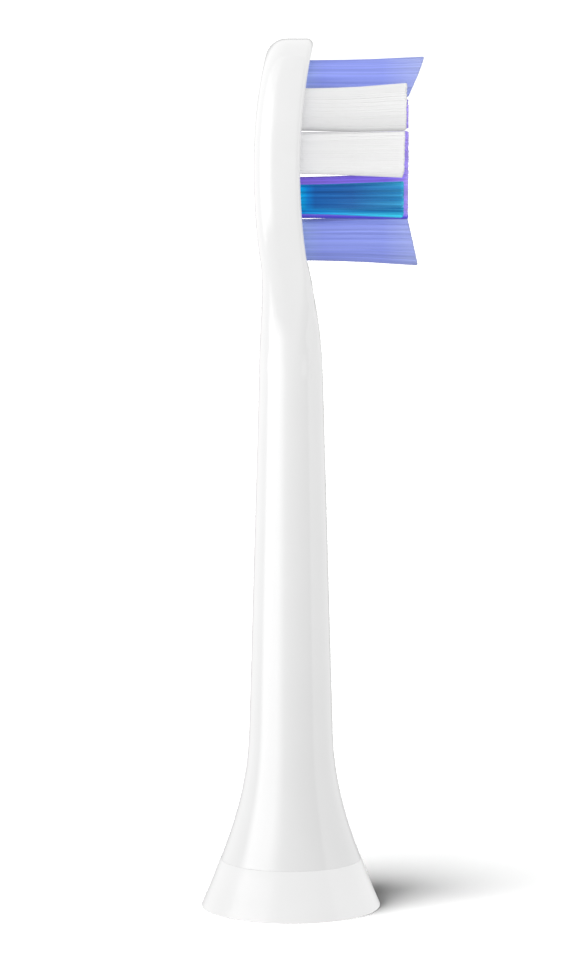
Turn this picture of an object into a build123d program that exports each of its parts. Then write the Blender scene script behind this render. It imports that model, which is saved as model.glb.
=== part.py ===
from build123d import *
import os
from math import asin, cos, degrees, radians, sin, sqrt, tan

os.makedirs("parts", exist_ok=True)

# Click-on head of a sonic toothbrush, standing on its foot.
# Z runs up the drive shaft's axis from the foot, X points out of the bristle face, Y runs across the head.

# Overall sizes
tip_height = 76.5
foot_diameter = 15.96
joint_diameter = 12.42
flare_angle = 22.8
neck_root_height = 15.4
neck_root_diameter = 7.4
neck_top_diameter = 5.6

# Head
head_width = 12.1
head_thickness = 4.0
face_bend_radius = 52.0
face_bend_drop = 11.3
face_setback = 0.78
tip_bend_radius = 38.0
tip_bend_drop = 7.5
head_end_radius = 5.0
heel_shoulder = 1.45
back_rim_radius = 1.9
front_rim_radius = 0.5
throat_length = 10.0

# Bristle field, from the tip down
tip_margin = 1.86
heel_margin = 0.3
row_gap = 0.3
cap_height = 2.95
core_heights = (2.55, 3.6, 3.55)
heel_height = 3.5
core_pair_width = 1.9
core_triple_width = 1.6
core_corner = 0.45
side_width = 1.75
side_corner = 0.55
white_height = 3.46
blue_height = 2.5
blue_lift = 0.34
side_offset = 3.85
side_arc_radius = 24.0
cap_foot_width = 2.8
cap_width = 6.4
cap_shoulder = 0.48
cap_corner = 0.4
heel_width = 7.0

# Bristle reach from the shaft axis, and how far the tufts spread by their tips
white_reach = 9.95
blue_setback = 0.15
core_lead = 0.23
cap_lead = 1.59
cap_slant = 20.3
heel_lead = 1.08
heel_slant = 12.5
tuft_spread = 0.08
end_spread = 0.3
white_flare = 0.5
white_meet = 0.17
side_spread = 0.15
spread_start = 2.2

# Bristle plate and the melted mat behind it
rim_width = 0.82
plate_thickness = 1.6
plate_sink = 0.06
plate_end_radius = 4.2
mat_thickness = 0.5
ledge_width = 0.2

# Drive hub and its spring
hub_diameter = 5.2
hub_foot = 9.0
hub_length = 17.0
collar_diameter = 6.4
collar_height = 1.2
bore_diameter = 3.6
bore_length = 8.0
lead_in = 0.3
socket_diameter = 2.6
socket_flat = 0.95
socket_length = 7.6
clip_width = 1.2
clip_thickness = 0.25
clip_length = 6.4
clip_bump = 0.12
clip_rise = 0.4
clip_setback = 0.3
clip_bend = 0.4

# Foot ring and the radio tag in it
ring_height = 4.3
ring_wall = 0.75
ring_floor = 1.0
ring_proud = 0.03
ring_sag = 0.05
ring_top_radius = 0.12
ring_foot_radius = 0.12
skirt_wall = 0.7
tag_board_width = 0.95
tag_board_thickness = 0.35
tag_coil_width = 0.4
tag_coil_thickness = 0.12
tag_chip_size = 0.32
tag_chip_length = 0.6
tag_chip_thickness = 0.2

# Clearances
press_gap = 0.02
tuft_gap = 0.03
plate_gap = 0.03
mat_gap = 0.05
clip_gap = 0.05
tag_gap = 0.08

# Heights and radii that follow from the sizes above
foot_radius = foot_diameter / 2
joint_radius = joint_diameter / 2
neck_root_radius = neck_root_diameter / 2
neck_top_radius = neck_top_diameter / 2
head_half = head_width / 2
field_top = tip_height - tip_margin
core_1_top = field_top - cap_height - row_gap
core_1_foot = core_1_top - core_heights[0]
core_2_top = core_1_foot - row_gap
core_2_foot = core_2_top - core_heights[1]
core_3_top = core_2_foot - row_gap
core_3_foot = core_3_top - core_heights[2]
heel_top = core_3_foot - row_gap
field_foot = heel_top - heel_height
field_middle = (field_top + field_foot) / 2
head_foot = field_foot - heel_margin
neck_top_height = head_foot - throat_length
bend_height = tip_height - face_bend_drop
bend_x = face_setback + face_bend_radius
back_bend_radius = face_bend_radius + head_thickness
tip_bend_height = tip_height - tip_bend_drop
plate_back_radius = face_bend_radius + plate_sink + plate_thickness
mat_back_radius = plate_back_radius + mat_thickness
heel_half = head_half - heel_shoulder
blue_reach = white_reach - blue_setback
core_reach = white_reach + core_lead
cap_reach = white_reach + cap_lead
heel_reach = white_reach + heel_lead


def face_x(bend_radius, height):
    return bend_x - sqrt(bend_radius**2 - (height - bend_height) ** 2)


def oval(half_width, top, foot, end_radius):
    """Four tangent arcs about a centre on the Z axis, drawn in the open line block."""
    middle = (top + foot) / 2
    reach = (top - foot) / 2 - end_radius
    side_radius = (half_width**2 + reach**2 - end_radius**2) / (2 * (half_width - end_radius))
    turn = degrees(asin(reach / (side_radius - end_radius)))
    CenterArc((0, middle + reach), end_radius, turn, 180 - 2 * turn)
    CenterArc((half_width - side_radius, middle), side_radius, -turn, 2 * turn)
    CenterArc((0, middle - reach), end_radius, 180 + turn, 180 - 2 * turn)
    CenterArc((side_radius - half_width, middle), side_radius, 180 - turn, 2 * turn)


# Turned outside of the neck, flare and foot, shared by the body and the foot ring
neck_lean = (neck_top_radius - neck_root_radius, neck_top_height - neck_root_height)
with BuildPart() as turned_blank:
    with BuildSketch(Plane.XZ):
        with BuildLine():
            flare = Spline(
                (foot_radius, 0),
                (joint_radius, ring_height),
                (neck_root_radius, neck_root_height),
                tangents=((-sin(radians(flare_angle)), cos(radians(flare_angle))), neck_lean),
            )
            Polyline(flare @ 1, (neck_top_radius, neck_top_height), (0, neck_top_height), (0, 0), flare @ 0)
        make_face()
    revolve(axis=Axis.Z)

# Head: a bent slab cut to its outline, with a well rounded back rim and a small front one;
# towards the tip its back runs into a tighter arc
tip_bend_x = face_x(back_bend_radius, tip_bend_height)
tip_bend_share = tip_bend_radius / back_bend_radius
tip_bend_middle = (
    tip_bend_x + (bend_x - tip_bend_x) * tip_bend_share,
    tip_bend_height + (bend_height - tip_bend_height) * tip_bend_share,
)
with BuildPart() as head_blank:
    with BuildSketch(Plane.XZ):
        with Locations((bend_x, bend_height)):
            Circle(back_bend_radius)
            Circle(face_bend_radius, mode=Mode.SUBTRACT)
    extrude(amount=head_width, both=True)
    with BuildSketch(Plane.XZ):
        with Locations(tip_bend_middle):
            Circle(tip_bend_radius)
        with Locations((bend_x, tip_bend_height)):
            Rectangle(2 * back_bend_radius, 2 * back_bend_radius, align=(Align.CENTER, Align.MAX))
    extrude(amount=head_width, both=True, mode=Mode.INTERSECT)
    with BuildSketch(Plane.YZ):
        with BuildLine():
            reach = tip_height - field_middle - head_end_radius
            side_radius = (head_half**2 + reach**2 - head_end_radius**2) / (2 * (head_half - head_end_radius))
            turn = degrees(asin(reach / (side_radius - head_end_radius)))
            CenterArc((0, field_middle + reach), head_end_radius, turn, 180 - 2 * turn)
            CenterArc((head_half - side_radius, field_middle), side_radius, 0, turn)
            CenterArc((side_radius - head_half, field_middle), side_radius, 180 - turn, turn)
            right = TangentArc((head_half, field_middle), (heel_half, head_foot), tangent=(0, -1))
            left = TangentArc((-head_half, field_middle), (-heel_half, head_foot), tangent=(0, -1))
            Line(right @ 1, left @ 1)
        make_face()
    extrude(amount=head_width, both=True, mode=Mode.INTERSECT)
    back_rim = head_blank.faces().sort_by(Axis.X)[:2].edges()
    fillet(back_rim.filter_by(GeomType.LINE, reverse=True), back_rim_radius)
    front_rim = head_blank.faces().sort_by(Axis.X)[-1].edges()
    fillet(front_rim.filter_by(lambda e: e.center().Z > head_foot + 0.01), front_rim_radius)


def throat_section(height, back, front, half, back_radius, front_radius):
    """A rounded oblong across the throat, with softer corners at the back."""
    with BuildSketch(Plane.XY.offset(height)) as section:
        with BuildLine():
            Polyline((front, -half), (front, half), (back, half), (back, -half), (front, -half))
        make_face()
        fillet(section.vertices().group_by(Axis.X)[0], back_radius)
        fillet(section.vertices().group_by(Axis.X)[-1], front_radius)
    return section.sketch


# Throat between the flat head and the round neck: the share of the way down, then how far the back, the front,
# the width and the corners have gone from the head's foot to the neck
throat_shape = (
    (0.08, -0.36, 0.14, 0.15, 0.07),
    (0.25, -0.47, 0.38, 0.42, 0.28),
    (0.50, 0.05, 0.69, 0.75, 0.62),
    (0.75, 0.72, 0.90, 0.95, 0.88),
)
corner_limit = 0.97
throat_back = face_x(back_bend_radius, head_foot)
throat_front = face_x(face_bend_radius, head_foot)
throat = []
for down, back_share, front_share, width_share, corner_share in throat_shape:
    section = throat_section(
        head_foot - down * throat_length,
        throat_back + back_share * (-neck_top_radius - throat_back),
        throat_front + front_share * (neck_top_radius - throat_front),
        heel_half + width_share * (neck_top_radius - heel_half),
        back_rim_radius + corner_share * (neck_top_radius - back_rim_radius) * corner_limit,
        front_rim_radius + corner_share * (neck_top_radius - front_rim_radius) * corner_limit,
    )
    throat.append(section)
with BuildSketch(Plane.XY.offset(neck_top_height)) as neck_end:
    with BuildLine():
        for quarter in range(4):
            CenterArc((0, 0), neck_top_radius, 90 * quarter - 2, 4)
            CenterArc((0, 0), neck_top_radius, 90 * quarter + 2, 86)
    make_face()
head_end = head_blank.faces().sort_by(Axis.Z)[0]

# Outlines of the bristle plate and of the mat behind it, seen from the front
plate_half = head_half - rim_width
plate_top = tip_height - rim_width
plate_foot = head_foot - heel_margin


def bent_slab(half_width, top, foot, end_radius, outer_radius, inner_radius=0.0):
    """An oval piece between two arcs about the bend's axis, or all that is inside the outer arc."""
    with BuildPart() as slab:
        with BuildSketch(Plane.XZ):
            with Locations((bend_x, bend_height)):
                Circle(outer_radius)
                if inner_radius > 0:
                    Circle(inner_radius, mode=Mode.SUBTRACT)
        extrude(amount=head_width, both=True)
        with BuildSketch(Plane.YZ):
            with BuildLine():
                oval(half_width, top, foot, end_radius)
            make_face()
        extrude(amount=head_width, both=True, mode=Mode.INTERSECT)
    return slab.part


plate_pocket = bent_slab(
    plate_half + plate_gap,
    plate_top + plate_gap,
    plate_foot - plate_gap,
    plate_end_radius + plate_gap,
    plate_back_radius,
)
mat_pocket = bent_slab(
    plate_half - ledge_width,
    plate_top - ledge_width,
    plate_foot + ledge_width,
    plate_end_radius - ledge_width,
    mat_back_radius + mat_gap,
)

# Body: head, throat, neck and flare in one moulding, with the skirt that plugs into the foot ring
skirt_radius = joint_radius - ring_wall
skirt_bore = skirt_radius - skirt_wall
hub_radius = hub_diameter / 2
collar_radius = collar_diameter / 2
hub_top = hub_foot + hub_length
collar_top = hub_foot + collar_height
with BuildPart() as brush_body:
    add(turned_blank.part)
    split(bisect_by=Plane.XY.offset(ring_height), keep=Keep.TOP)
    add(head_blank.part)
    loft(sections=[head_end, *throat, neck_end.sketch])
    with BuildSketch(Plane.XY.offset(ring_height)):
        Circle(skirt_radius)
    extrude(amount=ring_floor + press_gap - ring_height)
    with BuildSketch(Plane.XZ):
        with BuildLine():
            Polyline(
                (0, 0),
                (skirt_bore, 0),
                (skirt_bore, ring_height),
                (collar_radius + press_gap, hub_foot),
                (collar_radius + press_gap, collar_top),
                (hub_radius + press_gap, collar_top),
                (hub_radius + press_gap, hub_top + press_gap),
                (0, hub_top + press_gap),
                (0, 0),
            )
        make_face()
    revolve(axis=Axis.Z, mode=Mode.SUBTRACT)
    add(plate_pocket, mode=Mode.SUBTRACT)
    add(mat_pocket, mode=Mode.SUBTRACT)
brush_body.part.label = "brush_body"
export_step(brush_body.part, "parts/brush_body.step")

# Foot ring: floor, coned wall and a rounded edge that stands a little proud of the body
ring_inner_foot = foot_radius - ring_floor * tan(radians(flare_angle)) - ring_wall
ring_lip = joint_radius + ring_proud
ring_middle = (foot_radius + ring_lip) / 2
with BuildPart() as base_ring:
    with BuildSketch(Plane.XZ):
        with BuildLine():
            outside = ThreePointArc((foot_radius, 0), (ring_middle - ring_sag, ring_height / 2), (ring_lip, ring_height))
            Polyline(
                outside @ 1,
                (skirt_radius + press_gap, ring_height),
                (ring_inner_foot, ring_floor),
                (skirt_bore, ring_floor),
                (skirt_bore, 0),
                outside @ 0,
            )
        make_face()
    revolve(axis=Axis.Z)
    rims = base_ring.edges().filter_by(GeomType.CIRCLE)
    fillet(rims.filter_by(lambda e: abs(e.radius - foot_radius) < 0.001), ring_foot_radius)
    rims = base_ring.edges().filter_by(GeomType.CIRCLE)
    fillet(rims.filter_by(lambda e: abs(e.radius - ring_lip) < 0.001), ring_top_radius)
base_ring.part.label = "base_ring"
export_step(base_ring.part, "parts/base_ring.step")

# Drive hub: a collared sleeve with a round guide bore, and a D-shaped socket above it
guide_top = hub_foot + bore_length
clip_foot = guide_top + clip_rise
clip_back = hub_radius - clip_setback
with BuildPart() as drive_hub:
    with BuildSketch(Plane.XY.offset(hub_foot)):
        Circle(collar_radius)
    extrude(amount=collar_height - press_gap)
    with BuildSketch(Plane.XY.offset(hub_foot)):
        Circle(hub_radius)
    extrude(amount=hub_length)
    with BuildSketch(Plane.XY.offset(hub_foot)):
        Circle(bore_diameter / 2)
    extrude(amount=bore_length, mode=Mode.SUBTRACT)
    mouth = drive_hub.faces().sort_by(Axis.Z)[0].edges().sort_by(SortBy.RADIUS)[0]
    chamfer(mouth, lead_in)
    with BuildSketch(Plane.XY.offset(guide_top)):
        Circle(socket_diameter / 2)
        with Locations((socket_flat + socket_diameter / 2, 0)):
            Rectangle(socket_diameter, socket_diameter, mode=Mode.SUBTRACT)
    extrude(amount=socket_length, mode=Mode.SUBTRACT)
    with BuildSketch(Plane.YZ):
        with Locations((0, clip_foot + clip_length / 2)):
            Rectangle(clip_width + 2 * clip_gap, clip_length + 2 * clip_gap)
    extrude(amount=hub_diameter, mode=Mode.SUBTRACT)
drive_hub.part.label = "drive_hub"
export_step(drive_hub.part, "parts/drive_hub.step")

# Leaf spring in the hub's window, with a bump that grips the shaft's notch
clip_middle = clip_foot + clip_length / 2
clip_front = socket_flat - clip_bump + clip_thickness / 2
with BuildPart() as spring_clip:
    with BuildSketch(Plane.XZ):
        with BuildLine():
            FilletPolyline(
                (clip_back, clip_foot),
                (clip_back, clip_foot + clip_length * 0.16),
                (clip_front, clip_middle),
                (clip_back, clip_foot + clip_length * 0.84),
                (clip_back, clip_foot + clip_length),
                radius=clip_bend,
            )
        trace(line_width=clip_thickness)
    extrude(amount=clip_width / 2, both=True)
spring_clip.part.label = "spring_clip"
export_step(spring_clip.part, "parts/spring_clip.step")

# Radio tag in the groove between the skirt and the ring's wall: board, flat coil and chip
board_inner = skirt_radius + tag_gap
board_top = ring_floor + tag_board_thickness
with BuildPart() as tag_board:
    with BuildSketch(Plane.XY.offset(ring_floor)):
        Circle(board_inner + tag_board_width)
        Circle(board_inner, mode=Mode.SUBTRACT)
    extrude(amount=tag_board_thickness)
tag_board.part.label = "tag_board"
export_step(tag_board.part, "parts/tag_board.step")

coil_outer = board_inner + tag_board_width - tag_gap
with BuildPart() as tag_coil:
    with BuildSketch(Plane.XY.offset(board_top)):
        Circle(coil_outer)
        Circle(coil_outer - tag_coil_width, mode=Mode.SUBTRACT)
    extrude(amount=tag_coil_thickness)
tag_coil.part.label = "tag_coil"
export_step(tag_coil.part, "parts/tag_coil.step")

with BuildPart() as tag_chip:
    with BuildSketch(Plane.XY.offset(board_top)):
        with Locations((board_inner + tag_gap + tag_chip_size / 2, 0)):
            Rectangle(tag_chip_size, tag_chip_length)
    extrude(amount=tag_chip_thickness)
tag_chip.part.label = "tag_chip"
export_step(tag_chip.part, "parts/tag_chip.step")


def block_section(depth, middle, width, height, corner, lean):
    """A rounded oblong tuft section at a depth along X."""
    with BuildSketch(Plane.YZ.offset(depth)) as section:
        with Locations(middle):
            RectangleRounded(width, height, corner, rotation=lean)
    return section.sketch


def cap_section(depth, spread=0.0, rise=0.0):
    """The domed tuft at the tip: a straight lower edge, two slanted sides that clear the white tufts, and an arc."""
    foot = field_top - cap_height - spread
    foot_half = cap_foot_width / 2
    half = cap_width / 2 + spread
    shoulder = field_top - cap_height * cap_shoulder
    top = field_top + rise
    with BuildSketch(Plane.YZ.offset(depth)) as section:
        with BuildLine():
            Line((-foot_half, foot), (foot_half, foot))
            Line((foot_half, foot), (half, shoulder))
            ThreePointArc((half, shoulder), (0, top), (-half, shoulder))
            Line((-half, shoulder), (-foot_half, foot))
        make_face()
        fillet(section.vertices(), cap_corner)
    return section.sketch


def heel_section(depth, spread=0.0, drop=0.0):
    """The half-moon tuft at the heel: a straight upper edge over an arc."""
    top = heel_top + spread
    half = heel_width / 2 + spread
    with BuildSketch(Plane.YZ.offset(depth)) as section:
        with BuildLine():
            Line((-half, top), (half, top))
            ThreePointArc((half, top), (0, field_foot - drop), (-half, top))
        make_face()
        fillet(section.vertices(), side_corner)
    return section.sketch


# Where each oblong tuft stands: name, centre, width, height, corner, lean, reach and the shift and growth at the tip
blocks = []
white_2_foot = core_2_foot
white_2_middle = white_2_foot + white_height / 2
white_1_middle = white_2_middle + white_height + row_gap
blue_middle = core_3_foot + blue_lift + blue_height / 2
for side, sign in (("left", -1), ("right", 1)):
    for name, height_at, height, reach, up, down in (
        ("tuft_white_upper", white_1_middle, white_height, white_reach, white_flare, 0.0),
        ("tuft_white_lower", white_2_middle, white_height, white_reach, white_meet, end_spread),
        ("tuft_blue", blue_middle, blue_height, blue_reach, end_spread, end_spread),
    ):
        along = height_at - field_middle
        across = side_offset - side_arc_radius + sqrt(side_arc_radius**2 - along**2)
        lean = degrees(asin(along / side_arc_radius))
        middle = (sign * across, height_at)
        tip = (sign * (across + side_spread), height_at + (up - down) / 2)
        size = (side_width, height, side_corner, sign * lean)
        blocks.append((name + "_" + side, middle, tip, size, (2 * tuft_spread, up + down), reach))
for name, top, foot, count, width in (
    ("upper", core_1_top, core_1_foot, 2, core_pair_width),
    ("middle", core_2_top, core_2_foot, 3, core_triple_width),
    ("lower", core_3_top, core_3_foot, 2, core_pair_width),
):
    labels = ("left", "right") if count == 2 else ("left", "centre", "right")
    for index, label in enumerate(labels):
        middle = ((index - (count - 1) / 2) * (width + row_gap), (top + foot) / 2)
        size = (width, top - foot, core_corner, 0.0)
        growth = (2 * tuft_spread, 2 * tuft_spread)
        blocks.append(("tuft_core_" + name + "_" + label, middle, middle, size, growth, core_reach))

# Bristle plate with a hole for each tuft, and the mat that the tufts' melted ends make behind it
plate_blank = bent_slab(
    plate_half, plate_top, plate_foot, plate_end_radius, plate_back_radius, face_bend_radius + plate_sink
)
with BuildPart() as bristle_plate:
    add(plate_blank)
    for section in [cap_section(0), heel_section(0)] + [block_section(0, block[1], *block[3]) for block in blocks]:
        hole = offset(section, amount=tuft_gap, mode=Mode.PRIVATE)
        extrude(hole, amount=head_width, both=True, mode=Mode.SUBTRACT)
bristle_plate.part.label = "bristle_plate"
export_step(bristle_plate.part, "parts/bristle_plate.step")

mat_inset = ledge_width + mat_gap
with BuildPart() as fused_backing:
    add(
        bent_slab(
            plate_half - mat_inset,
            plate_top - mat_inset,
            plate_foot + mat_inset,
            plate_end_radius - mat_inset,
            mat_back_radius,
            plate_back_radius,
        )
    )
fused_backing.part.label = "fused_backing"
export_step(fused_backing.part, "parts/fused_backing.step")

# Tufts: straight through the plate from the mat, then spreading a little to their tips
tuft_root = face_x(mat_back_radius, bend_height)
for name, middle, tip, (width, height, corner, lean), (wider, taller), reach in blocks:
    with BuildPart() as tuft:
        extrude(block_section(tuft_root, middle, width, height, corner, lean), amount=spread_start - tuft_root)
        start = block_section(spread_start, middle, width, height, corner, lean)
        end = block_section(reach, tip, width + wider, height + taller, corner, lean)
        loft(sections=[start, end], ruled=True)
        with BuildSketch(Plane.XZ):
            with Locations((bend_x, bend_height)):
                Circle(plate_back_radius)
        extrude(amount=head_width, both=True, mode=Mode.INTERSECT)
    tuft.part.label = name
    export_step(tuft.part, "parts/" + name + ".step")

with BuildPart() as tuft_tip:
    extrude(cap_section(tuft_root), amount=spread_start - tuft_root)
    loft(sections=[cap_section(spread_start), cap_section(cap_reach, tuft_spread, end_spread)], ruled=True)
    with BuildSketch(Plane.XZ):
        with Locations((bend_x, bend_height)):
            Circle(plate_back_radius)
    extrude(amount=head_width, both=True, mode=Mode.INTERSECT)
    cap_lean = radians(cap_slant)
    cut = Plane(origin=(cap_reach, 0, field_top + end_spread), z_dir=(cos(cap_lean), 0, -sin(cap_lean)))
    split(bisect_by=cut, keep=Keep.BOTTOM)
tuft_tip.part.label = "tuft_tip"
export_step(tuft_tip.part, "parts/tuft_tip.step")

with BuildPart() as tuft_heel:
    extrude(heel_section(tuft_root), amount=spread_start - tuft_root)
    loft(sections=[heel_section(spread_start), heel_section(heel_reach, tuft_spread, end_spread)], ruled=True)
    with BuildSketch(Plane.XZ):
        with Locations((bend_x, bend_height)):
            Circle(plate_back_radius)
    extrude(amount=head_width, both=True, mode=Mode.INTERSECT)
    heel_lean = radians(heel_slant)
    cut = Plane(origin=(heel_reach, 0, field_foot - end_spread), z_dir=(cos(heel_lean), 0, sin(heel_lean)))
    split(bisect_by=cut, keep=Keep.BOTTOM)
tuft_heel.part.label = "tuft_heel"
export_step(tuft_heel.part, "parts/tuft_heel.step")
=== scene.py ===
import math
import random
import bmesh
import bpy
from mathutils import Matrix, Vector
from mathutils.bvhtree import BVHTree


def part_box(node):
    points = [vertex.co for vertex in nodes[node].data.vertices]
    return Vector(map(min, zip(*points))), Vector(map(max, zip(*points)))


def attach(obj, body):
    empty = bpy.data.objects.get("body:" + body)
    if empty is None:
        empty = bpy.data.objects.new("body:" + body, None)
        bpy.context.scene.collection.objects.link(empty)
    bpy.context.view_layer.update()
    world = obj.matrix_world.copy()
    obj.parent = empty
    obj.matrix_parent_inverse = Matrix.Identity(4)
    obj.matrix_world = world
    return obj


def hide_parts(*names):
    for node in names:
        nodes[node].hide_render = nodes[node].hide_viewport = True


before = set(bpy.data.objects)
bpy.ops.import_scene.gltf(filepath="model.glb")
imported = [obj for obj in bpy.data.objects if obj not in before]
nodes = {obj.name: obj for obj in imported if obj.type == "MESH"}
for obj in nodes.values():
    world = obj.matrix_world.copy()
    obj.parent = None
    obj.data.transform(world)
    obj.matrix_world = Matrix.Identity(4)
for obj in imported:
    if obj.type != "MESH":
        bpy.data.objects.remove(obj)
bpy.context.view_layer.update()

scene = bpy.context.scene
mm = 0.001
print("frame loaded, nodes:", len(nodes))

# camera: side view of the standing head, a little from above
cameraSet = {
    "place": (-0.00026, -0.345, 0.075),
    "tiltDown": 6.126,
    "lens": 148.18,
    "sensor": 36.0,
    "nearest": 0.01,
    "farthest": 50.0,
}
cameraData = bpy.data.cameras.new("sideCamera")
cameraData.lens = cameraSet["lens"]
cameraData.sensor_width = cameraSet["sensor"]
cameraData.clip_start = cameraSet["nearest"]
cameraData.clip_end = cameraSet["farthest"]
camera = bpy.data.objects.new("sideCamera", cameraData)
camera.location = cameraSet["place"]
camera.rotation_euler = (math.radians(90.0 - cameraSet["tiltDown"]), 0.0, 0.0)
scene.collection.objects.link(camera)
scene.camera = camera
print("camera placed")


def join(tree, socket, value):
    # a socket takes a plain value, or a link from another node's output
    if isinstance(value, bpy.types.NodeSocket):
        tree.links.new(value, socket)
    else:
        socket.default_value = value


def feed(tree, node, **sockets):
    # joins sockets by their names, with _ for a space
    for name, value in sockets.items():
        join(tree, node.inputs[name.replace("_", " ")], value)


def nodeMaker(tree):
    # adds a node, feeds its sockets and returns it
    def add(kind, **sockets):
        made = tree.nodes.new(kind)
        feed(tree, made, **sockets)
        return made
    return add


def mathNode(tree, operation, first, second):
    made = tree.nodes.new("ShaderNodeMath")
    made.operation = operation
    join(tree, made.inputs[0], first)
    join(tree, made.inputs[1], second)
    return made.outputs[0]


def vectorNode(tree, operation, *sides):
    # a scale's second side is its number
    made = tree.nodes.new("ShaderNodeVectorMath")
    made.operation = operation
    scaled = operation == "SCALE"
    sockets = (made.inputs[0], made.inputs["Scale"]) if scaled else made.inputs
    for socket, side in zip(sockets, sides):
        join(tree, socket, side)
    return made.outputs["Value" if operation == "DOT_PRODUCT" else "Vector"]


# where a mix node of each kind has its two sides and its result
mixPlaces = {"FLOAT": (2, 3, 0), "VECTOR": (4, 5, 1), "RGBA": (6, 7, 2)}


def mixNode(tree, kind, share, first, second):
    made = tree.nodes.new("ShaderNodeMix")
    made.data_type = kind
    firstAt, secondAt, resultAt = mixPlaces[kind]
    join(tree, made.inputs[0], share)
    join(tree, made.inputs[firstAt], first)
    join(tree, made.inputs[secondAt], second)
    return made.outputs[resultAt]


def rampNode(tree, share, stops):
    # a run of colours; stops are (share, colour), in order
    made = tree.nodes.new("ShaderNodeValToRGB")
    elements = made.color_ramp.elements
    while len(elements) < len(stops):
        elements.new(1.0)
    for element, (at, colour) in zip(elements, stops):
        element.position = at
        element.color = tuple(colour) + (1.0,)
    join(tree, made.inputs["Fac"], share)
    return made.outputs["Color"]


def paint(red, green, blue):
    # a paint colour as seen on a screen, 0 to 255, turned to light values by the sRGB curve
    def light(level):
        share = level / 255.0
        return share / 12.92 if share <= 0.04045 else ((share + 0.055) / 1.055) ** 2.4
    return (light(red), light(green), light(blue))


def wayOf(turned, risen):
    # the way to something seen from the object: degrees round it from the camera, plus to the
    # right, and degrees up
    around, above = math.radians(turned), math.radians(risen)
    return Vector((
        math.sin(around) * math.cos(above), -math.cos(around) * math.cos(above), math.sin(above)
    ))


def newMaterial(name):
    material = bpy.data.materials.new(name)
    material.use_nodes = True
    tree = material.node_tree
    return material, tree, tree.nodes["Principled BSDF"]


# studio: soft light all round from a white surround, a tall panel for the gloss, and a white floor
studioSet = {
    "backdrop": 1.2,  # what the camera sees behind the floor
    "fill": 1.04,  # soft light from everywhere
    "lean": 0.21,  # how much stronger it is from the left
    "leanTurn": -110.0,
    "leanRise": 8.0,
    # brightness in the gloss by the angle round the object from the camera, plus to the right
    "room": [(-180, 1.3), (-120, 1.35), (-60, 1.2), (0, 1.4), (20, 1.3),
             (62, 0.85), (66, 1.9), (112, 1.5), (180, 1.3)],
    "panel": [(-180, 0.0), (-96, 0.0), (-81, 3.7), (-40, 3.9), (-18, 0.8),
              (0, 0.2), (20, 0.0), (180, 0.0)],
    "panelHeights": [(-0.46, 0.0), (-0.34, 1.0), (0.42, 1.0), (0.62, 0.35), (1.0, 0.2)],
    # what it loses straight behind the object, up to a height
    "dark": [(-180, 1.0), (-160, 0.7), (-145, 0.2), (-128, 0.0),
             (128, 0.0), (145, 0.2), (160, 0.7), (180, 1.0)],
    "darkHeights": [(-1.0, 1.0), (0.25, 1.0), (0.5, 0.15), (1.0, 0.0)],
}
allRound = (-180.0, 180.0)
upright = (-1.0, 1.0)
world = bpy.data.worlds.new("studio")
scene.world = world
world.use_nodes = True
world.cycles.sampling_method = "NONE"
worldTree = world.node_tree
addNode = nodeMaker(worldTree)
coords = addNode("ShaderNodeTexCoord").outputs["Generated"]
axes = addNode("ShaderNodeSeparateXYZ", Vector=coords)
towards = mathNode(worldTree, "MULTIPLY", axes.outputs["Y"], -1.0)
turn = mathNode(worldTree, "ARCTAN2", axes.outputs["X"], towards)
turnShare = addNode("ShaderNodeMapRange", Value=turn, From_Min=-math.pi, From_Max=math.pi)
heightShare = addNode(
    "ShaderNodeMapRange", Value=axes.outputs["Z"], From_Min=upright[0], From_Max=upright[1]
)


def levelRamp(mapped, stops, span):
    # brightness along a line of stops over a span
    low, high = span
    brightest = max(level for at, level in stops)
    greys = [((at - low) / (high - low), (level / brightest,) * 3) for at, level in stops]
    grey = rampNode(worldTree, mapped.outputs["Result"], greys)
    return mathNode(worldTree, "MULTIPLY", grey, brightest)


room = levelRamp(turnShare, studioSet["room"], allRound)
panel = levelRamp(turnShare, studioSet["panel"], allRound)
panelHeight = levelRamp(heightShare, studioSet["panelHeights"], upright)
dark = levelRamp(turnShare, studioSet["dark"], allRound)
darkHeight = levelRamp(heightShare, studioSet["darkHeights"], upright)
lost = mathNode(worldTree, "MULTIPLY", dark, darkHeight)
roomLeft = mathNode(worldTree, "SUBTRACT", room, lost)
panelLight = mathNode(worldTree, "MULTIPLY", panel, panelHeight)
glossLight = mathNode(worldTree, "ADD", roomLeft, panelLight)
leanWay = wayOf(studioSet["leanTurn"], studioSet["leanRise"])
facing = vectorNode(worldTree, "DOT_PRODUCT", coords, leanWay)
leaning = mathNode(worldTree, "MULTIPLY", facing, studioSet["lean"])
softLight = mathNode(worldTree, "ADD", leaning, studioSet["fill"])
rays = addNode("ShaderNodeLightPath").outputs
lit = mixNode(worldTree, "FLOAT", rays["Is Glossy Ray"], softLight, glossLight)
shown = mixNode(worldTree, "FLOAT", rays["Is Camera Ray"], lit, studioSet["backdrop"])
feed(worldTree, worldTree.nodes["Background"], Color=(1.0, 1.0, 1.0, 1.0), Strength=shown)

floorSet = {"size": 3.0, "height": 0.04 * mm, "tone": 0.095}
floorData = bpy.data.meshes.new("floor")
floorMesh = bmesh.new()
bmesh.ops.create_grid(floorMesh, x_segments=1, y_segments=1, size=floorSet["size"])
floorMesh.to_mesh(floorData)
floorMesh.free()
floor = bpy.data.objects.new("floor", floorData)
floor.location = (0.0, 0.0, floorSet["height"])
floor.visible_glossy = False
floor.visible_diffuse = False
scene.collection.objects.link(floor)
floorMaterial, floorTree, floorShader = newMaterial("paleFloor")
floorColour = (floorSet["tone"],) * 3 + (1.0,)
feed(floorTree, floorShader, Base_Color=floorColour, Roughness=1.0, Specular_IOR_Level=0.0)
floorData.materials.append(floorMaterial)

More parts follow.
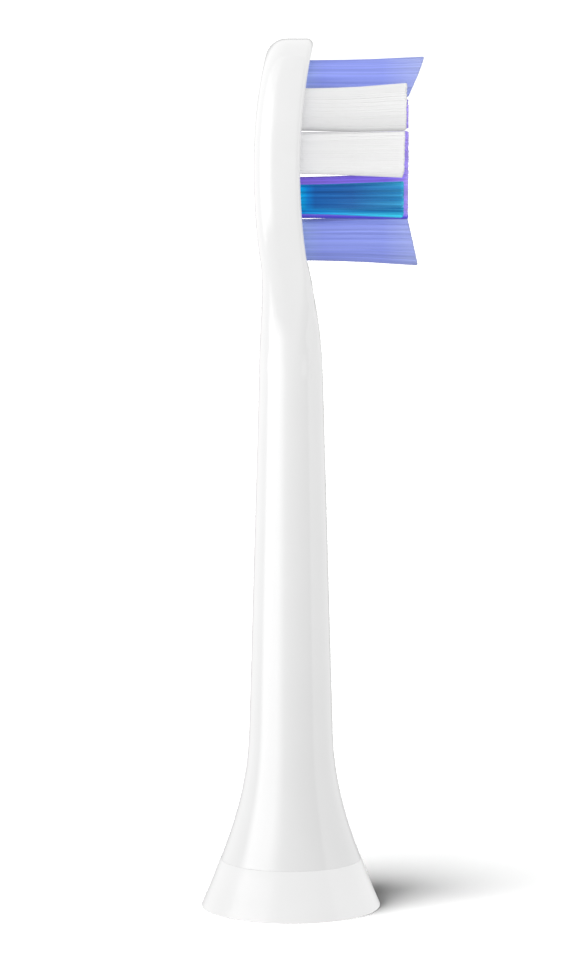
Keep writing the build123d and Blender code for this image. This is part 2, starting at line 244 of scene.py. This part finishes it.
# a fan of soft lamps lights the floor alone, for the soft shadow to the right
lampSet = {
    "turns": (-75.0, -60.0, -45.0, -30.0, -15.0),
    "rise": 12.0,
    "softness": 44.0,
    "strength": 37.0,
}
litByLamps = bpy.data.collections.new("litByLamps")
litByLamps.objects.link(floor)
for number, turned in enumerate(lampSet["turns"]):
    lampData = bpy.data.lights.new("floorLamp%d" % number, "SUN")
    lampData.energy = lampSet["strength"]
    lampData.angle = math.radians(lampSet["softness"])
    lampData.cycles.use_multiple_importance_sampling = False
    lamp = bpy.data.objects.new("floorLamp%d" % number, lampData)
    lampWay = wayOf(turned, lampSet["rise"])
    lamp.rotation_euler = (-lampWay).to_track_quat("-Z", "Y").to_euler()
    lamp.visible_glossy = False
    lamp.light_linking.receiver_collection = litByLamps
    scene.collection.objects.link(lamp)
scene.view_settings.view_transform = "Standard"
print("studio built")

plasticSet = {
    "mottleScale": 220.0,
    "mottleDetail": 3.0,
    "mottleStops": (0.3, 0.7),
    "mottle": 0.985,  # share of the colour in the darker patches
    "grainDetail": 2.0,
    "bump": 0.03,
    "bumpDepth": 0.01 * mm,
    "ior": 1.5,
}


def smoothPlastic(name, colour, roughness, grain, paintedShading=None, gloss=0.5):
    # moulded plastic: faint mottling in the colour, and a very fine bump; painted shade may darken
    # the colour towards the first end of an axis, given as (axis, from, to, share of the colour
    # there)
    material, tree, shader = newMaterial(name)
    add = nodeMaker(tree)
    place = add("ShaderNodeTexCoord").outputs["Object"]
    cloud = add(
        "ShaderNodeTexNoise", Vector=place,
        Scale=plasticSet["mottleScale"], Detail=plasticSet["mottleDetail"],
    )
    darker = tuple(c * plasticSet["mottle"] for c in colour)
    mottles = list(zip(plasticSet["mottleStops"], (darker, colour)))
    tone = rampNode(tree, cloud.outputs["Fac"], mottles)
    # painted shade and light: the colour is scaled from that share at one end up to full at the
    # other
    if paintedShading:
        axisName, start, end, share = paintedShading
        axis = add("ShaderNodeSeparateXYZ", Vector=place)
        paintedShadeShare = add(
            "ShaderNodeMapRange", Value=axis.outputs[axisName],
            From_Min=start, From_Max=end, To_Min=share, To_Max=1.0,
        )
        tone = vectorNode(tree, "SCALE", tone, paintedShadeShare.outputs["Result"])
    fine = add("ShaderNodeTexNoise", Vector=place, Scale=grain, Detail=plasticSet["grainDetail"])
    bump = add(
        "ShaderNodeBump", Height=fine.outputs["Fac"],
        Strength=plasticSet["bump"], Distance=plasticSet["bumpDepth"],
    )
    feed(
        tree, shader, Base_Color=tone, Normal=bump.outputs["Normal"],
        Roughness=roughness, IOR=plasticSet["ior"], Specular_IOR_Level=gloss,
    )
    return material


dressSet = {"weld": 0.000001, "softAngle": 30.0}


def dress(nodeName, material):
    # a CAD node keeps its mesh: loose triangles are welded and shaded smooth by modifiers
    piece = nodes[nodeName]
    piece.data.materials.clear()
    piece.data.materials.append(material)
    for face in piece.data.polygons:
        face.use_smooth = True
    weld = piece.modifiers.new("weld", "WELD")
    weld.merge_threshold = dressSet["weld"]
    split = piece.modifiers.new("edges", "EDGE_SPLIT")
    split.split_angle = math.radians(dressSet["softAngle"])
    return piece


plasticLooks = {
    "bodyWhite": {
        "colour": (0.85, 0.85, 0.85), "roughness": 0.12, "grain": 9000.0,
        # painted light: the body is darker towards the bottom and lighter towards the head
        "paintedShading": ("Z", 12.0 * mm, 70.0 * mm, 0.888),
    },
    "ringWhite": {
        "colour": (0.88, 0.88, 0.88), "roughness": 0.2, "grain": 9000.0,
        # painted light: the ring is lighter on its +X side and darker on its -X side
        "paintedShading": ("X", -7.0 * mm, 6.0 * mm, 0.9), "gloss": 0.28,
    },
    "plateWhite": {"colour": (0.83, 0.83, 0.83), "roughness": 0.2, "grain": 9000.0},
    "hubWhite": {"colour": (0.66, 0.66, 0.66), "roughness": 0.4, "grain": 5000.0},
    "meltedNylon": {"colour": (0.55, 0.55, 0.68), "roughness": 0.35, "grain": 1500.0},
    "chipBlack": {"colour": (0.02, 0.02, 0.022), "roughness": 0.5, "grain": 6000.0},
    "filmBoard": {"colour": (0.42, 0.24, 0.05), "roughness": 0.35, "grain": 4000.0},
}
plastics = {name: smoothPlastic(name, **look) for name, look in plasticLooks.items()}
dress("brush_body", plastics["bodyWhite"])
dress("bristle_plate", plastics["plateWhite"])
ring = dress("base_ring", plastics["ringWhite"])
ring.visible_diffuse = False  # it doesn't shade the skirt in soft light
dress("drive_hub", plastics["hubWhite"])
dress("fused_backing", plastics["meltedNylon"])
dress("tag_chip", plastics["chipBlack"])
dress("tag_board", plastics["filmBoard"])
print("body dressed")

metalSet = {
    "lineDetail": 3.0,
    "lineStops": (0.3, 0.7),
    "lineTone": 0.85,  # share of the colour in the darker lines
    "roughnessFrom": 0.8,
    "roughnessTo": 1.2,
}


def bareMetal(name, colour, roughness, streaks):
    # rolled metal: fine lines across the colour and the roughness
    material, tree, shader = newMaterial(name)
    add = nodeMaker(tree)
    place = add("ShaderNodeTexCoord").outputs["Object"]
    squeezed = add("ShaderNodeMapping", Vector=place, Scale=streaks).outputs["Vector"]
    lines = add(
        "ShaderNodeTexNoise", Vector=squeezed, Scale=1.0, Detail=metalSet["lineDetail"]
    ).outputs["Fac"]
    darker = tuple(c * metalSet["lineTone"] for c in colour)
    tone = rampNode(tree, lines, list(zip(metalSet["lineStops"], (darker, colour))))
    rough = add(
        "ShaderNodeMapRange", Value=lines,
        To_Min=roughness * metalSet["roughnessFrom"], To_Max=roughness * metalSet["roughnessTo"],
    )
    feed(tree, shader, Base_Color=tone, Roughness=rough.outputs["Result"], Metallic=1.0)
    return material


metalLooks = {
    "springSteel": {
        "colour": (0.56, 0.56, 0.58), "roughness": 0.28, "streaks": (9000.0, 9000.0, 300.0),
    },
    "coilCopper": {
        "colour": (0.72, 0.33, 0.19), "roughness": 0.3, "streaks": (4000.0, 4000.0, 9000.0),
    },
}
metals = {name: bareMetal(name, **look) for name, look in metalLooks.items()}
dress("spring_clip", metals["springSteel"])
dress("tag_coil", metals["coilCopper"])
print("inner pieces dressed")

nylonSet = {
    "clumpDetail": 2.0,
    "streakFrom": 0.3,
    "streakTo": 0.7,
    "outerAt": 0.45,  # how alike its own and the tuft's normals are on a strand's outer side
    "ior": 1.53,
    "white": (1.0, 1.0, 1.0, 1.0),
}


def bristleNylon(name, look):
    # coloured nylon: colour runs from root to tip, lighter at the root and the tip as painted
    # light;
    # edge strands take a second colour, clumps of strands are streaked, and single strands vary in
    # tone
    material, tree, shader = newMaterial(name)
    add = nodeMaker(tree)

    def attribute(title, output):
        made = add("ShaderNodeAttribute")
        made.attribute_name = title
        return made.outputs[output]

    place = add("ShaderNodeTexCoord").outputs["Object"]
    axis = add("ShaderNodeSeparateXYZ", Vector=place)
    along = add(
        "ShaderNodeMapRange", Value=axis.outputs["X"], From_Min=look["from"], From_Max=look["to"]
    ).outputs["Result"]
    # the run from root to tip holds the nylon's colour, lighter at the root and at the tip as
    # painted light
    dyeWithPaintedLight = rampNode(tree, along, look["dyeWithPaintedLight"])
    edgeColour = rampNode(tree, along, look["edgeColour"])
    colourWithPaintedLight = mixNode(tree, "RGBA", attribute("edge", "Fac"), dyeWithPaintedLight, edgeColour)
    squeezed = add("ShaderNodeMapping", Vector=place, Scale=look["clump"]).outputs["Vector"]
    clump = add(
        "ShaderNodeTexNoise", Vector=squeezed, Scale=1.0, Detail=nylonSet["clumpDetail"]
    )
    streak = add(
        "ShaderNodeMapRange", Value=clump.outputs["Fac"],
        From_Min=nylonSet["streakFrom"], From_Max=nylonSet["streakTo"],
    )
    tint = mixNode(
        tree, "RGBA", streak.outputs["Result"], look["streak"] + (1.0,), nylonSet["white"]
    )
    streaked = vectorNode(tree, "MULTIPLY", colourWithPaintedLight, tint)
    # tone scales in painted shade and light: by height in the tuft, brighter at the cut end, with
    # a random spread per strand
    shade = vectorNode(tree, "SCALE", streaked, attribute("tone", "Fac"))
    # packed strands are lit much as the face of their tuft is, on their outer side
    turned = add("ShaderNodeVectorTransform", Vector=attribute("outward", "Vector"))
    turned.vector_type = "NORMAL"
    turned.convert_from = "OBJECT"
    turned.convert_to = "WORLD"
    outward = turned.outputs["Vector"]
    own = add("ShaderNodeNewGeometry").outputs["Normal"]
    alike = vectorNode(tree, "DOT_PRODUCT", own, outward)
    outer = add(
        "ShaderNodeMapRange", Value=alike,
        From_Min=0.0, From_Max=nylonSet["outerAt"], To_Max=look["soften"],
    )
    softer = mixNode(tree, "VECTOR", outer.outputs["Result"], own, outward)
    feed(
        tree, shader, Base_Color=shade, Normal=vectorNode(tree, "NORMALIZE", softer),
        Roughness=look["roughness"], IOR=nylonSet["ior"], Specular_IOR_Level=look["gloss"],
    )
    material.cycles.use_bump_map_correction = False
    return material


# each colour run is lighter at the root and at the tip as painted light; the blue's bright cyan
# root is a painted glow
nylonLooks = {
    "lavenderNylon": {
        "from": 0.7 * mm, "to": 11.0 * mm, "clump": (40.0, 1500.0, 3600.0),
        "dyeWithPaintedLight": [(0.0, paint(172, 194, 255)), (0.1, paint(160, 178, 255)),
                (0.2, paint(154, 169, 255)), (0.7, paint(157, 171, 255)),
                (1.0, paint(184, 196, 255))],
        "edgeColour": [(0.0, paint(142, 152, 240)), (1.0, paint(150, 160, 250))],
        "streak": (0.74, 0.76, 0.87), "roughness": 0.35, "gloss": 0.3, "soften": 0.75,
    },
    "whiteNylon": {
        "from": 0.7 * mm, "to": 10.0 * mm, "clump": (40.0, 1500.0, 1900.0),
        "dyeWithPaintedLight": [(0.0, paint(248, 248, 250)), (0.3, paint(247, 247, 247)),
                (0.9, paint(252, 252, 252)), (1.0, paint(255, 255, 255))],
        "edgeColour": [(0.0, paint(250, 250, 250)), (1.0, paint(250, 250, 250))],
        "streak": (0.96, 0.96, 0.96), "roughness": 0.35, "gloss": 0.3, "soften": 0.86,
    },
    "blueNylon": {
        "from": 0.7 * mm, "to": 9.8 * mm, "clump": (40.0, 1500.0, 2500.0),
        "dyeWithPaintedLight": [(0.0, paint(0, 200, 255)), (0.03, paint(0, 188, 255)),
                (0.08, paint(14, 145, 228)), (0.15, paint(32, 112, 190)),
                (0.5, paint(54, 122, 192)), (0.9, paint(66, 164, 217)),
                (0.955, paint(70, 176, 226)), (1.0, paint(90, 225, 255))],
        "edgeColour": [(0.0, paint(10, 175, 255)), (0.5, paint(62, 192, 245)),
                    (1.0, paint(70, 230, 255))],
        "streak": (0.2, 0.4, 0.6), "roughness": 0.35, "gloss": 0.08, "soften": 0.7,
    },
    "purpleNylon": {
        "from": 0.7 * mm, "to": 10.2 * mm, "clump": (40.0, 1500.0, 1900.0),
        "dyeWithPaintedLight": [(0.0, paint(141, 113, 237)), (0.8, paint(129, 108, 236)),
                (0.95, paint(156, 134, 252)), (1.0, paint(190, 172, 255))],
        "edgeColour": [(0.0, paint(85, 80, 215)), (1.0, paint(95, 85, 225))],
        "streak": (0.86, 0.86, 0.92), "roughness": 0.35, "gloss": 0.2, "soften": 0.7,
    },
}
nylons = {name: bristleNylon(name, look) for name, look in nylonLooks.items()}

strandSet = {
    "thickness": 0.185 * mm,
    "pitch": 0.165 * mm,
    "sides": 6,
    "cuts": 4,  # rings along a strand, for its bend
    "ringReach": 0.01 * mm,  # how near to a ring's place its corners lie
    "lastRing": 0.06 * mm,  # from the end
    "roundEnd": 0.05 * mm,
    "endReach": 1.05,  # of the rounded end, what counts as the end
    "length": 9.0 * mm,  # of the strand that the others are copied from
    "endStretch": 0.5 * mm,  # the end keeps its shape when a strand is made longer
    "straightTo": 2.2 * mm,  # strands run straight to here, then spread
    "straightReach": 0.05 * mm,
    "insideAt": 1.5 * mm,  # a height in the straight part
    "tipsFrom": 0.6,  # share of a tuft's reach where its tips begin
    "pullIn": 0.06,  # share of the way to the middle, for a tip that misses the solid
    "rootFacing": -0.5,  # a root's face looks back along X at least this much
    "walkSteps": 12,  # in a pitch, and the fewest round a tuft
    "longestWalk": 20000,
    "outlinePitch": 0.97,  # along the outline, in pitches
    "room": 0.72,  # that a strand inside needs, in pitches
    "shift": 0.12,  # how far a strand stands off its place, in pitches
    "stray": 0.018 * mm,
    "paintedEndLight": 1.1,  # painted light: the cut end is made brighter, as light coming out of it
    "seed": 5,
}
alongX = Vector((1.0, 0.0, 0.0))
backX = Vector((-1.0, 0.0, 0.0))


def makeStrand():
    # one bristle along X with a rounded end
    radius = strandSet["thickness"] / 2
    length = strandSet["length"]
    cuts, lastRing = strandSet["cuts"], strandSet["lastRing"]
    strand = bmesh.new()
    midway = Matrix.Translation((length / 2, 0.0, 0.0))
    lying = midway @ Matrix.Rotation(math.radians(90.0), 4, "Y")
    bmesh.ops.create_cone(
        strand, cap_ends=True, cap_tris=False, segments=strandSet["sides"],
        radius1=radius, radius2=radius, depth=length, matrix=lying,
    )
    runs = [e for e in strand.edges if abs(e.verts[0].co.x - e.verts[1].co.x) > length / 2]
    bmesh.ops.subdivide_edges(strand, edges=runs, cuts=cuts, use_grid_fill=True)
    lastAt = length * cuts / (cuts + 1)
    for vert in strand.verts:
        if abs(vert.co.x - lastAt) < strandSet["ringReach"]:
            vert.co.x = length - lastRing
    rim = [e for e in strand.edges if min(v.co.x for v in e.verts) > length - lastRing / 2]
    bmesh.ops.bevel(
        strand, geom=rim, offset=strandSet["roundEnd"], offset_type="OFFSET", segments=1,
        profile=0.5, affect="EDGES", material=-1,
    )
    for face in strand.faces:
        face.smooth = True
    mesh = bpy.data.meshes.new("strand")
    strand.to_mesh(mesh)
    strand.free()
    return mesh


def findFeet(tree, low, high, chance):
    # places for strands in a tuft's section: a row along its outline, then rows inside
    pitch = strandSet["pitch"]
    radius = strandSet["thickness"] / 2
    taken = {}
    feet = []

    def cellOf(y, z):
        return math.floor(y / pitch), math.floor(z / pitch)

    def isFree(y, z):
        row, column = cellOf(y, z)
        for i in (row - 1, row, row + 1):
            for j in (column - 1, column, column + 1):
                for other in taken.get((i, j), ()):
                    if math.hypot(y - other[0], z - other[1]) < pitch * strandSet["room"]:
                        return False
        return True

    def rootAt(y, z):
        place, facing, index, far = tree.ray_cast(Vector((low.x - mm, y, z)), alongX)
        return place if place is not None and facing.x < strandSet["rootFacing"] else None

    def keep(y, z, outward):
        root = rootAt(y, z)
        if root:
            taken.setdefault(cellOf(y, z), []).append((y, z))
            feet.append((root.x, y, z, outward))

    def wallNear(y, z):
        return tree.find_nearest(Vector((strandSet["insideAt"], y, z)))

    def offPlace():
        return chance.uniform(-1.0, 1.0) * strandSet["shift"] * pitch

    # a walk round the wall in fine steps, from the middle of the tuft's upper side
    step = pitch / strandSet["walkSteps"]
    wall, outward, index, far = wallNear((low.y + high.y) / 2, high.z)
    walked = [(wall, outward)]
    while len(walked) < strandSet["walkSteps"] or (wall - walked[0][0]).length > step:
        ahead = wall + outward.cross(alongX).normalized() * step
        wall, outward, index, far = wallNear(ahead.y, ahead.z)
        walked.append((wall, outward))
        if len(walked) > strandSet["longestWalk"]:
            raise ValueError("the walk round a tuft found no end")
    rowCount = round(len(walked) * step / (pitch * strandSet["outlinePitch"]))
    for number in range(rowCount):
        wall, outward = walked[int(len(walked) * number / rowCount)]
        onRow = wall - outward * radius
        keep(onRow.y, onRow.z, outward)
    rowStep = pitch * math.sqrt(3.0) / 2
    for i in range(int((high.y - low.y) / rowStep) + 2):
        for j in range(int((high.z - low.z) / pitch) + 2):
            y = low.y + i * rowStep + offPlace()
            z = low.z + (j + 0.5 * (i % 2)) * pitch + offPlace()
            wall, outward, index, far = wallNear(y, z)
            if far >= radius and rootAt(y, z) and isFree(y, z):
                keep(y, z, outward)
    return feet


def between(stops, share):
    # a value on the line between neighbouring stops
    for (lowShare, lowValue), (highShare, highValue) in zip(stops, stops[1:]):
        if share <= highShare:
            part = max(0.0, (share - lowShare) / (highShare - lowShare))
            return lowValue + (highValue - lowValue) * part
    return stops[-1][1]


def plantTuft(nodeName, nylon, look, seed):
    # a tuft of single strands in the form of its CAD solid
    chance = random.Random(seed)
    solid = nodes[nodeName].data
    corners = [v.co for v in solid.vertices]
    tree = BVHTree.FromPolygons(corners, [f.vertices for f in solid.polygons])
    low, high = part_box(nodeName)
    length, straightTo = strandSet["length"], strandSet["straightTo"]
    endStretch, stray = strandSet["endStretch"], strandSet["stray"]
    straight = [c for c in corners if c.x < straightTo + strandSet["straightReach"]]
    tips = [c for c in corners if c.x > strandSet["tipsFrom"] * high.x]

    def span(points, axis):
        return min(p[axis] for p in points), max(p[axis] for p in points)

    def tipAt(y, z):
        return tree.ray_cast(Vector((high.x + mm, y, z)), backX)[0]

    footY, footZ = span(straight, 1), span(straight, 2)
    endY, endZ = span(tips, 1), span(tips, 2)
    sectionLow = Vector((low.x, footY[0], footZ[0]))
    sectionHigh = Vector((high.x, footY[1], footZ[1]))
    feet = findFeet(tree, sectionLow, sectionHigh, chance)
    tuft = bmesh.new()
    for foot in feet:
        tuft.from_mesh(strandMesh)
    toneLayer = tuft.verts.layers.float.new("tone")
    edgeLayer = tuft.verts.layers.float.new("edge")
    outwardLayer = tuft.verts.layers.float_vector.new("outward")
    tuft.verts.ensure_lookup_table()
    shape = [v.co.copy() for v in strandMesh.vertices]
    for index, (rootX, y, z, outward) in enumerate(feet):
        across = (y - footY[0]) / (footY[1] - footY[0])
        # 0 at the tuft's lower edge, 1 at its upper edge
        rise = (z - footZ[0]) / (footZ[1] - footZ[0])
        tipY = endY[0] + (endY[1] - endY[0]) * across
        tipZ = endZ[0] + (endZ[1] - endZ[0]) * rise
        hit = tipAt(tipY, tipZ)
        if hit is None:
            inY = tipY + (sum(endY) / 2 - tipY) * strandSet["pullIn"]
            inZ = tipZ + (sum(endZ) / 2 - tipZ) * strandSet["pullIn"]
            hit = tipAt(inY, inZ)
        tipX = (hit.x if hit is not None else high.x) - chance.random() ** 2 * look["ragged"]
        tipX -= between(look["trim"], rise) * mm
        tipY += chance.gauss(0.0, 1.0) * stray
        tipZ += chance.gauss(0.0, 1.0) * stray + between(look["tips"], rise) * mm
        z += between(look["feet"], rise) * mm
        spread = 1.0 + look["strandTone"] * chance.uniform(-0.5, 0.5)
        # painted shade and light by the strand's height in the tuft, times a random spread
        tone = between(look["shade"], rise) * spread
        edge = between(look["edge"], rise)
        bodyScale = (tipX - rootX - endStretch) / (length - endStretch)
        facing = Matrix.Rotation(math.atan2(outward.z, outward.y), 3, "X")
        start = index * len(shape)
        for corner, vert in zip(shape, tuft.verts[start:start + len(shape)]):
            place = facing @ corner
            fromEnd = length - place.x
            x = tipX - fromEnd if fromEnd < endStretch else rootX + place.x * bodyScale
            share = max(0.0, (x - straightTo) / (tipX - straightTo))
            bow = look["bow"] * math.sin(math.pi * share)
            vert.co = (
                x,
                y + (tipY - y) * share + place.y,
                z + (tipZ - z) * share + place.z + bow,
            )
            onEnd = fromEnd < strandSet["roundEnd"] * strandSet["endReach"]
            # painted light: the rounded end is made brighter
            vert[toneLayer] = tone * strandSet["paintedEndLight"] if onEnd else tone
            vert[edgeLayer] = edge
            vert[outwardLayer] = alongX if onEnd else outward
    data = bpy.data.meshes.new(nodeName + "_strands")
    tuft.to_mesh(data)
    tuft.free()
    data.materials.append(nylons[nylon])
    piece = bpy.data.objects.new(nodeName + "_strands", data)
    piece.visible_diffuse = False  # nylon lets light through, so strands don't darken each other
    scene.collection.objects.link(piece)
    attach(piece, "root")
    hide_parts(nodeName)
    return len(feet)


# start of the node names, and how that kind of tuft is planted; the lists run from its lower to
# its upper edge, those of feet, tips and trim in mm
# painted shade and light: each shade list scales the strands' tone by height, darker along some
# lower edges and lighter along the top of the lower white tuft
plain = {
    "ragged": 0.06 * mm, "bow": 0.0, "strandTone": 0.12,
    "feet": [(0, 0), (1, 0)], "tips": [(0, 0), (1, 0)], "trim": [(0, 0), (1, 0)],
    "shade": [(0, 1), (1, 1)], "edge": [(0, 0), (1, 0)],
}
tuftLooks = {
    "tuft_tip": ("lavenderNylon", "bristle_lavender", dict(
        plain, ragged=0.03 * mm, bow=-0.06 * mm, strandTone=0.24,
        tips=[(0, -0.15), (1, -0.02)], trim=[(0, 0.15), (1, -0.03)],
        shade=[(0, 0.84), (0.1, 0.9), (0.25, 0.96), (0.5, 1), (1, 1)])),
    "tuft_heel": ("lavenderNylon", "bristle_lavender", dict(
        plain, bow=0.07 * mm, strandTone=0.26,
        feet=[(0, -0.05), (1, -0.04)], tips=[(0, -0.18), (1, 0.1)],
        trim=[(0, -0.04), (1, 0.08)], shade=[(0, 0.89), (0.3, 0.94), (1, 0.95)])),
    "tuft_white_upper": ("whiteNylon", "bristle_white", dict(
        plain, ragged=0.16 * mm, bow=-0.09 * mm, strandTone=0.02,
        feet=[(0, -0.08), (1, 0.05)], tips=[(0, -0.06), (1, 0)],
        trim=[(0, 0.04), (1, -0.06)],
        shade=[(0, 0.5), (0.02, 0.6), (0.05, 0.87), (0.2, 0.92), (0.3, 0.94),
               (0.42, 1), (1, 1)])),
    "tuft_white_lower": ("whiteNylon", "bristle_white", dict(
        plain, ragged=0.16 * mm, strandTone=0.02,
        feet=[(0, -0.06), (1, -0.07)], tips=[(0, -0.05), (1, 0)],
        trim=[(0, 0.36), (0.15, 0.18), (1, 0.12)],
        shade=[(0, 1), (0.9, 1), (0.96, 1.08), (1, 1.1)])),
    "tuft_blue": ("blueNylon", "bristle_blue", dict(
        plain, ragged=0.2 * mm, strandTone=0.4,
        feet=[(0, 0.05), (1, 0)], tips=[(0, 0.03), (1, 0)], trim=[(0, 0.08), (1, 0.08)],
        edge=[(0, 1), (0.1, 1), (0.24, 0), (0.88, 0), (1, 0.9)])),
    "tuft_core_upper": ("purpleNylon", "bristle_purple", dict(
        plain, ragged=0.2 * mm, strandTone=0.3, tips=[(0, 0), (1, -0.25)])),
    "tuft_core_middle": ("purpleNylon", "bristle_purple", dict(
        plain, ragged=0.2 * mm, strandTone=0.3,
        feet=[(0, 0), (1, -0.36)], tips=[(0, -0.09), (1, -0.15)])),
    "tuft_core_lower": ("purpleNylon", "bristle_purple", dict(
        plain, ragged=0.2 * mm, strandTone=0.3,
        feet=[(0, -0.09), (1, -0.16)], tips=[(0, -0.12), (1, 0.09)],
        edge=[(0, 1), (0.06, 1), (0.12, 0), (1, 0)])),
}
strandMesh = makeStrand()
strandCount = 0
for number, nodeName in enumerate(sorted(name for name in nodes if name.startswith("tuft_"))):
    kind = next(start for start in tuftLooks if nodeName.startswith(start))
    nylon, slotName, look = tuftLooks[kind]
    strandCount += plantTuft(nodeName, nylon, look, strandSet["seed"] + number)
bpy.data.meshes.remove(strandMesh)
print("strands planted:", strandCount)
